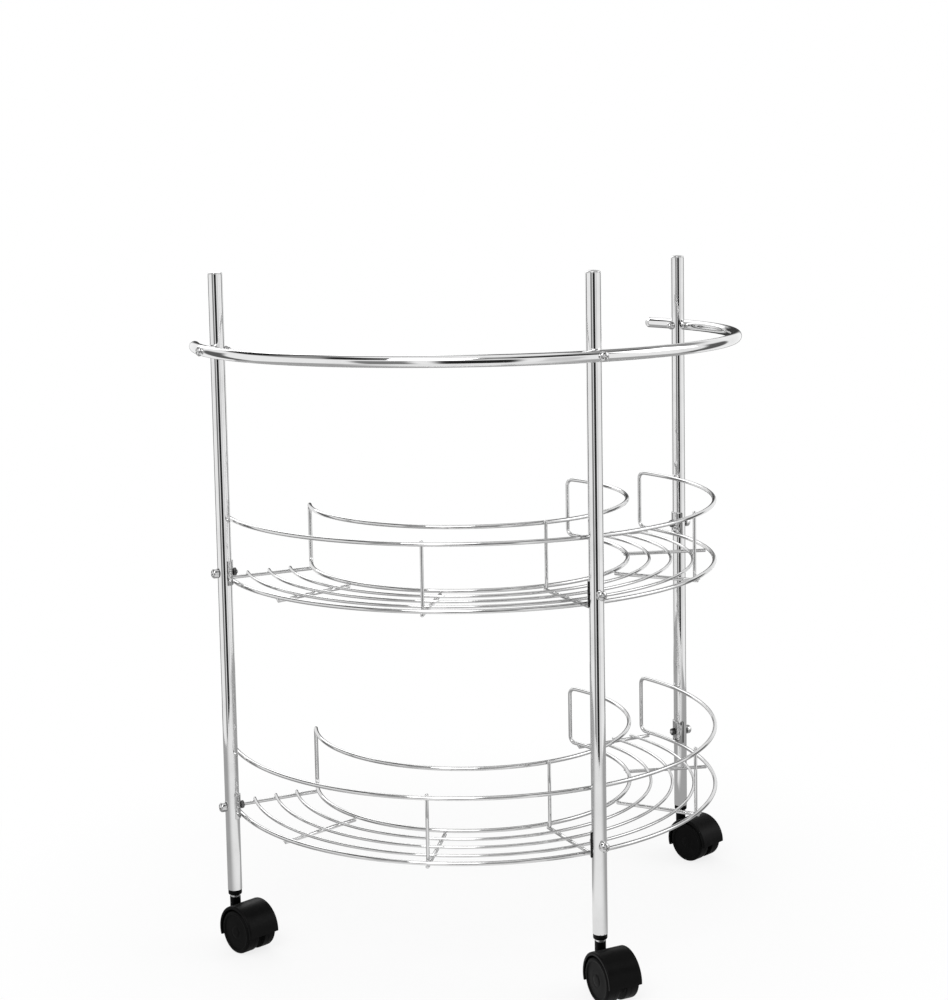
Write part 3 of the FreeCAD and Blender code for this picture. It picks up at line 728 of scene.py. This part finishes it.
def floor_radii(shelf):
    """Radii of the inner loop, the floor arcs and the outer loop."""
    arcs = [arc_radius(shelf, number) for number in FLOOR_ARCS]
    return [loop_radius(shelf, "inner"), *arcs, loop_radius(shelf, "outer")]


def cross_wires(shelf):
    """Straight wires under the floor, from the inner to the outer loop, welded at crossings."""
    node = f"{shelf}_cross_wires"
    low, high = node_box(node)
    level = high[2] - RUNG_WIRE * WIRE_FLAT
    radii = floor_radii(shelf)
    outer = -low[1]
    inner = radii[0] - (outer - radii[-1])
    shells = []
    for rung in RUNGS:
        turn = rung * RUNG_TURN
        shells.append(rod(around(inner, turn, level), around(outer, turn, level), RUNG_WIRE / 2))
        shells += [weld(around(radius, turn, high[2]), outward(turn)) for radius in radii]
    piece(f"{shelf}_rungs", shells, wire_chrome, "frame", node)


def end_wires(shelf):
    """The straight wires that close the floor at the open back, welded at each crossing."""
    for side in ("left", "right"):
        node = f"{shelf}_end_wire_{side}"
        low, high = node_box(node)
        middle, back, level = (low + high) / 2
        start, end = np.array([low[0], back, level]), np.array([high[0], back, level])
        shells = [rod(start, end, RUNG_WIRE / 2)]
        for radius in floor_radii(shelf):
            across = np.sign(middle) * sqrt(radius**2 - back**2)
            shells.append(weld([across, back, high[2]], end - start))
        piece(f"{shelf}_back_wire_{side}", shells, wire_chrome, "frame", node)


def guard_posts(shelf):
    """Upright wires between floor and guard, welded to the loop beside them."""
    for name in ("outer_post_left", "outer_post_right", "inner_post"):
        node = f"{shelf}_{name}"
        ring = name.split("_")[0]
        low, high = node_box(node)
        foot, top = upright_at(node, low[2]), upright_at(node, high[2])
        touch = (np.hypot(foot[0], foot[1]) + loop_radius(shelf, ring)) / 2
        shells = [rod(foot, top, POST_WIRE / 2)]
        for level in loop_levels(shelf, ring):
            shells.append(weld(around(touch, turn_of(foot), level), UP))
        piece(f"{shelf}_{name}_wire", shells, wire_chrome, "frame", node)


def saddle(shelf, side):
    """Bent sheet round the inner half of a leg: a rounded strip carried round the leg's axis."""
    node = f"{shelf}_saddle_{side}"
    leg = f"leg_{side}"
    low, high = node_box(node)
    middle = upright_at(leg, (low[2] + high[2]) / 2)
    radius = half_wide(leg) + FIT_GAP + SADDLE_SHEET / 2
    wrap = np.arccos(SADDLE_OPEN / radius)
    outs = outward(pi + turn_of(middle) + np.linspace(wrap, -wrap, 40))
    corner = np.linspace(0, pi / 2, 5)
    half_sheet = SADDLE_SHEET / 2 - SADDLE_EDGE + SADDLE_EDGE * np.cos(corner)
    half_tall = (high[2] - low[2]) / 2 - SADDLE_EDGE + SADDLE_EDGE * np.sin(corner)
    xs = np.concatenate([half_sheet, -half_sheet[::-1], -half_sheet, half_sheet[::-1]])
    zs = np.concatenate([half_tall, half_tall[::-1], -half_tall, -half_tall[::-1]])
    made = sweep(np.stack([xs, zs], -1), middle + radius * outs, outs, UP, 1.0)
    # The plating paints shade along the sheet's first edge.
    piece(f"{shelf}_sleeve_{side}", [made], plate_chrome, "frame", node, sharp=45)


def head_shell(base, axis, crown):
    """A dome head with a cross recess.

    Height over the seat is the crown less a half ellipse's fall towards the rim. Inside the arms
    of the cross it drops by the recess, which fades out over a narrow slope.
    """
    share = np.array([HEAD_FOOT, 1.0, *HEAD_RINGS])
    fall = 1 - np.sqrt(1 - np.clip(share, 0, HEAD_STEEPEST) ** 2)
    tall = crown - SCREW_DOME * fall
    tall[:2] = 0.0, HEAD_EDGE
    flat = SCREW_HEAD / 2 * share[:, None, None] * circle(64)
    p, q = flat[..., 0], flat[..., 1]

    def slot(along, across):
        """One where a slot is open, falling to nought over its slopes."""
        wide = np.clip((CROSS_HALF - np.abs(across)) / CROSS_SLOPE + 0.5, 0, 1)
        long = np.clip((CROSS_ARM - np.abs(along)) / CROSS_FADE + 0.5, 0, 1)
        return wide * long

    height = tall[:, None] - CROSS_DEEP * np.maximum(slot(p, q), slot(q, p))
    axis, side, up = level_frame(axis)
    rings = height[..., None] * axis + p[..., None] * side + q[..., None] * up
    return capped(np.asarray(base, float) + rings)


def thread_shell(base, axis, length):
    """A threaded tip: the radius rises and falls with height less turn, one ridge to a pitch."""
    count = 32
    heights = np.linspace(0, length, 40)
    phase = (heights[:, None] / THREAD_PITCH - np.arange(count) / count) % 1.0
    ridge = 1 - np.abs(2 * phase - 1)
    taper = np.clip((length - heights[:, None]) / THREAD_TAPER, 0, 1)
    radius = SCREW_SHANK / 2 - THREAD_DEEP * (1 - ridge) - THREAD_NOSE * (1 - taper)
    return capped(rings_about(base, axis, heights, radius, count))


def nut_shell(base, axis, dome=0.0):
    """A hexagon nut with chamfered corners, and a dome where it is a cap nut.

    The radius is the smaller of the hexagon's and a cone's that falls off near both faces. A dome
    is a quarter ellipse, and without one the nut ends in the mouth of its bore.
    """
    count = 72
    apothem = NUT_FLATS / 2
    turns = np.arange(count) * 2 * pi / count
    hexagon = apothem / np.cos((turns + pi / 6) % (pi / 3) - pi / 6)
    heights = np.array([0, *NUT_STEPS, *(NUT_TALL - NUT_STEPS[::-1])])
    cone = apothem * NUT_FACE + NUT_CONE * np.minimum(heights, NUT_TALL - heights)
    radius = np.minimum(hexagon, cone[:, None])
    radius[0] *= NUT_SEAT
    body = rings_about(base, axis, heights, radius, count)
    if dome:
        t = np.linspace(0, NUT_DOME_TURN, 12)
        heights = NUT_TALL + dome * np.sin(t)
        radius = apothem * NUT_DOME_WIDE * np.cos(t)
    else:
        heights = np.array([NUT_TALL, NUT_TALL - NUT_MOUTH_DEEP])
        radius = np.array([SCREW_SHANK / 2 + NUT_MOUTH_EASE, SCREW_SHANK / 2])
    top = rings_about(base, axis, heights, radius[:, None], count)
    return capped(np.concatenate([body, top]))


def fasteners():
    """Screws and nuts of the shelves and of the towel rail, as four groups."""
    groups = {name: [] for name in ("shelf_screws", "shelf_nuts", "rail_screws", "rail_nuts")}
    rail_radius, rail_level, _ = rail_places()
    for side in SIDES:
        leg = f"leg_{side}"
        turn = turn_of(upright_at(leg, 0.0))
        out = outward(turn)
        to_seat = out * half_wide(leg)
        for shelf in SHELVES:
            low, high = node_box(f"{shelf}_saddle_{side}")
            middle = upright_at(leg, (low[2] + high[2]) / 2)
            back = middle - to_seat - out * (FIT_GAP + SADDLE_SHEET)
            groups["shelf_screws"].append(head_shell(middle + to_seat, out, SHELF_HEAD_TALL))
            groups["shelf_screws"].append(thread_shell(back, -out, NUT_TALL + SCREW_TIP))
            groups["shelf_nuts"].append(nut_shell(back, -out))
        seat = around(rail_radius + RAIL_TUBE * RAIL_FLAT, turn, rail_level)
        back = upright_at(leg, rail_level) - to_seat
        groups["rail_screws"].append(head_shell(seat, out, RAIL_HEAD_TALL))
        groups["rail_nuts"].append(nut_shell(back, -out, NUT_DOME_TALL))
    for name, shells in groups.items():
        finish = nut_steel if name == "shelf_nuts" else screw_chrome
        piece(f"{name}_set", shells, finish, "frame", name, sharp=35)


def wheel(side, name):
    """A moulded caster wheel: rounded tread, raised rim, sunk face and a low hub cap, spun."""
    node = f"caster_{side}_wheel_{name}"
    joint = next(j for j in frame["joints"] if j["name"] == f"wheel_{side}_{name}_spin")
    low, high = node_box(node)
    axis = np.array(joint["axis"], float)
    pivot = np.array(joint["pos_m"], float)
    if np.dot((low + high) / 2 - pivot, axis) < 0:
        axis = -axis
    radius = (high[2] - low[2]) / 2
    near, far = np.array([WHEEL_NEAR, radius]), np.array([WHEEL_FAR, radius])
    t = np.linspace(0, pi / 2, 9)
    profile = np.concatenate([
        [(WHEEL_NEAR, WHEEL_BORE)],
        near + WHEEL_BACK,
        near + WHEEL_EASE * np.stack([1 - np.cos(t), np.sin(t) - 1], -1),
        near + WHEEL_GROOVE,
        far + WHEEL_SHOULDER * np.stack([np.sin(t) - 1, np.cos(t) - 1], -1),
        far + WHEEL_RIM,
        np.array([WHEEL_FAR, 0.0]) + WHEEL_HUB,
    ])
    made = spun(pivot, axis, *profile.T, count=96)
    body = f"wheel_{side}_{name}"
    piece(f"{body}_moulding", [made], wheel_black, body, node, sharp=38)


def collar(side):
    """The visible collar of a caster socket: rounded lower edge, short plug above, spun."""
    node = f"caster_{side}_socket"
    foot = node_box(node)[0][2]
    tall = node_box(f"leg_{side}")[0][2] - foot
    radius = half_wide(node)
    t = np.linspace(0, pi / 2, 8)
    rise, inset = COLLAR_EDGE * (1 - np.cos(t)), COLLAR_EDGE * (1 - np.sin(t))
    heights = [0, *rise, tall - COLLAR_BEVEL, tall, COLLAR_PLUG_TOP]
    insets = np.array([*inset, 0, COLLAR_STEP, COLLAR_PLUG_STEP])
    radii = [COLLAR_MOUTH, *(radius - insets)]
    made = spun(upright_at(node, foot), UP, heights, radii, count=56)
    piece(f"collar_{side}", [made], hood_black, "frame", node, sharp=45)


def dress_nodes():
    """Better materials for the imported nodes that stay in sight."""
    finishes = {"stem": stem_steel, "axle": stem_steel, "hood": hood_black}
    for side in SIDES:
        for name, finish in finishes.items():
            mesh = frame["nodes"][f"caster_{side}_{name}"].data
            mesh.materials.clear()
            mesh.materials.append(finish)


def studio_floor():
    """A pale floor disc that stays white to the camera and keeps the rack's shadow.

    The camera sees soft shading that fades to white towards the rim; mirrors see a mid grey that
    pales towards the camera.
    """
    rim = np.pad(FLOOR_REACH * circle(96), ((0, 0), (0, 1)))
    mesh = bpy.data.meshes.new("studio_floor")
    mesh.from_pydata(rim.tolist(), [], [list(range(len(rim)))])
    look = material("studio_floor")
    place = look.place()
    tone = look.blend(look.noise(place, 1.3, 2.0), *map(grey, FLOOR_PAPER))
    matte = look.add("ShaderNodeBsdfDiffuse", {}, {"Color": tone})
    far = look.vector("LENGTH", place, out="Value")
    white = look.span(far, *FLOOR_FADE, FLOOR_WHITE, 1.0)
    paper = look.mix(white, matte, look.glow(grey(1.0)))
    to_camera = (-sin(CAMERA_YAW), -cos(CAMERA_YAW), 0)
    near = look.vector("DOT_PRODUCT", look.vector("NORMALIZE", place), to_camera, "Value")
    sheen = look.blend(look.span(near, *FLOOR_NEAR), *map(grey, FLOOR_MIRROR))
    lit = look.mix(look.direct(), matte, paper)
    both = look.mix(look.ray("Is Glossy Ray"), lit, look.glow(sheen))
    look.add("ShaderNodeOutputMaterial", {}, {"Surface": both})
    mesh.materials.append(look.owner)
    made = bpy.data.objects.new("studio_floor", mesh)
    bpy.context.scene.collection.objects.link(made)


def studio_world():
    """A white room for the camera; mirrors also see dark gaps in it.

    The gaps are upright ones, three behind the camera and three before it, and a broken ring
    overhead, each a smooth step of the looking direction.
    """
    world = bpy.data.worlds.new("studio")
    bpy.context.scene.world = world
    look = Look(world)
    direction = look.place("Generated")
    height = look.part(direction, "Z")
    level = look.vector("NORMALIZE", look.vector("MULTIPLY", direction, (1, 1, 0)))
    low = look.span(height, *GAP_TOP, 1.0, 0.0)
    dark = look.span(height, *RING_LOW) * look.span(height, *RING_HIGH, 1.0, 0.0)
    dark = dark * look.span(look.noise(direction, 1.7, 1.0), *RING_NOISE, *RING_DARK)
    for turn, half, depth in GAPS:
        heading = CAMERA_YAW + radians(turn)
        lined = look.vector("DOT_PRODUCT", level, (sin(heading), cos(heading), 0), "Value")
        edges = (cos(radians(half * share)) for share in (1 + GAP_FADE, 1 - GAP_FADE))
        dark = dark + depth * low * look.span(lined, *edges)
    shade = look.span(dark, 0.0, 1.0, 1.0, DARKEST)
    glossy = look.ray("Is Glossy Ray")
    mirrored = glossy * shade + (1 - glossy) * ROOM_LIGHT
    direct = look.direct()
    strength = direct + (1 - direct) * mirrored
    sky = look.add("ShaderNodeBackground", {}, {"Color": grey(1.0), "Strength": strength})
    look.add("ShaderNodeOutputWorld", {}, {"Surface": sky})


def soft_lamp(name, at, aim, size, power):
    """A square soft light turned to a point."""
    lamp = bpy.data.lights.new(name, "AREA")
    lamp.shape = "SQUARE"
    lamp.size = size
    lamp.energy = power
    made = bpy.data.objects.new(name, lamp)
    made.location = at
    made.rotation_euler = (Vector(aim) - Vector(at)).to_track_quat("-Z", "Y").to_euler()
    bpy.context.scene.collection.objects.link(made)


def photo_camera():
    """The photograph's camera, turned by yaw, pitch and roll."""
    lens = bpy.data.cameras.new("photo_camera")
    lens.lens = FOCAL * lens.sensor_width / FRAME_TALL
    lens.shift_y = CAMERA_SHIFT
    lens.clip_end = CAMERA_FAR
    level = np.array([sin(CAMERA_YAW), cos(CAMERA_YAW), 0.0])
    right = np.array([cos(CAMERA_YAW), -sin(CAMERA_YAW), 0.0])
    forward = level * cos(CAMERA_PITCH) + UP * sin(CAMERA_PITCH)
    upward = UP * cos(CAMERA_PITCH) - level * sin(CAMERA_PITCH)
    side = right * cos(CAMERA_ROLL) + upward * sin(CAMERA_ROLL)
    top = upward * cos(CAMERA_ROLL) - right * sin(CAMERA_ROLL)
    turn = np.stack([side, top, -forward], -1)
    made = bpy.data.objects.new("photo_camera", lens)
    made.matrix_world = Matrix.Translation(CAMERA_AT) @ Matrix(turn.tolist()).to_4x4()
    bpy.context.scene.collection.objects.link(made)
    bpy.context.scene.camera = made


for side in SIDES:
    leg_tube(side)
    leg_dome(side)
    collar(side)
    wheel(side, "inner")
    wheel(side, "outer")
towel_rail()
rail_end("left", -1)
rail_end("right", 1)
for shelf in SHELVES:
    wire_loop(shelf, "outer")
    wire_loop(shelf, "inner")
    for number in FLOOR_ARCS:
        floor_arc(shelf, number)
    cross_wires(shelf)
    end_wires(shelf)
    guard_posts(shelf)
    for side in SIDES:
        saddle(shelf, side)
fasteners()
dress_nodes()

studio_floor()
studio_world()
for lamp in LAMPS:
    soft_lamp(*lamp)
photo_camera()
bpy.context.scene.view_settings.view_transform = "Standard"
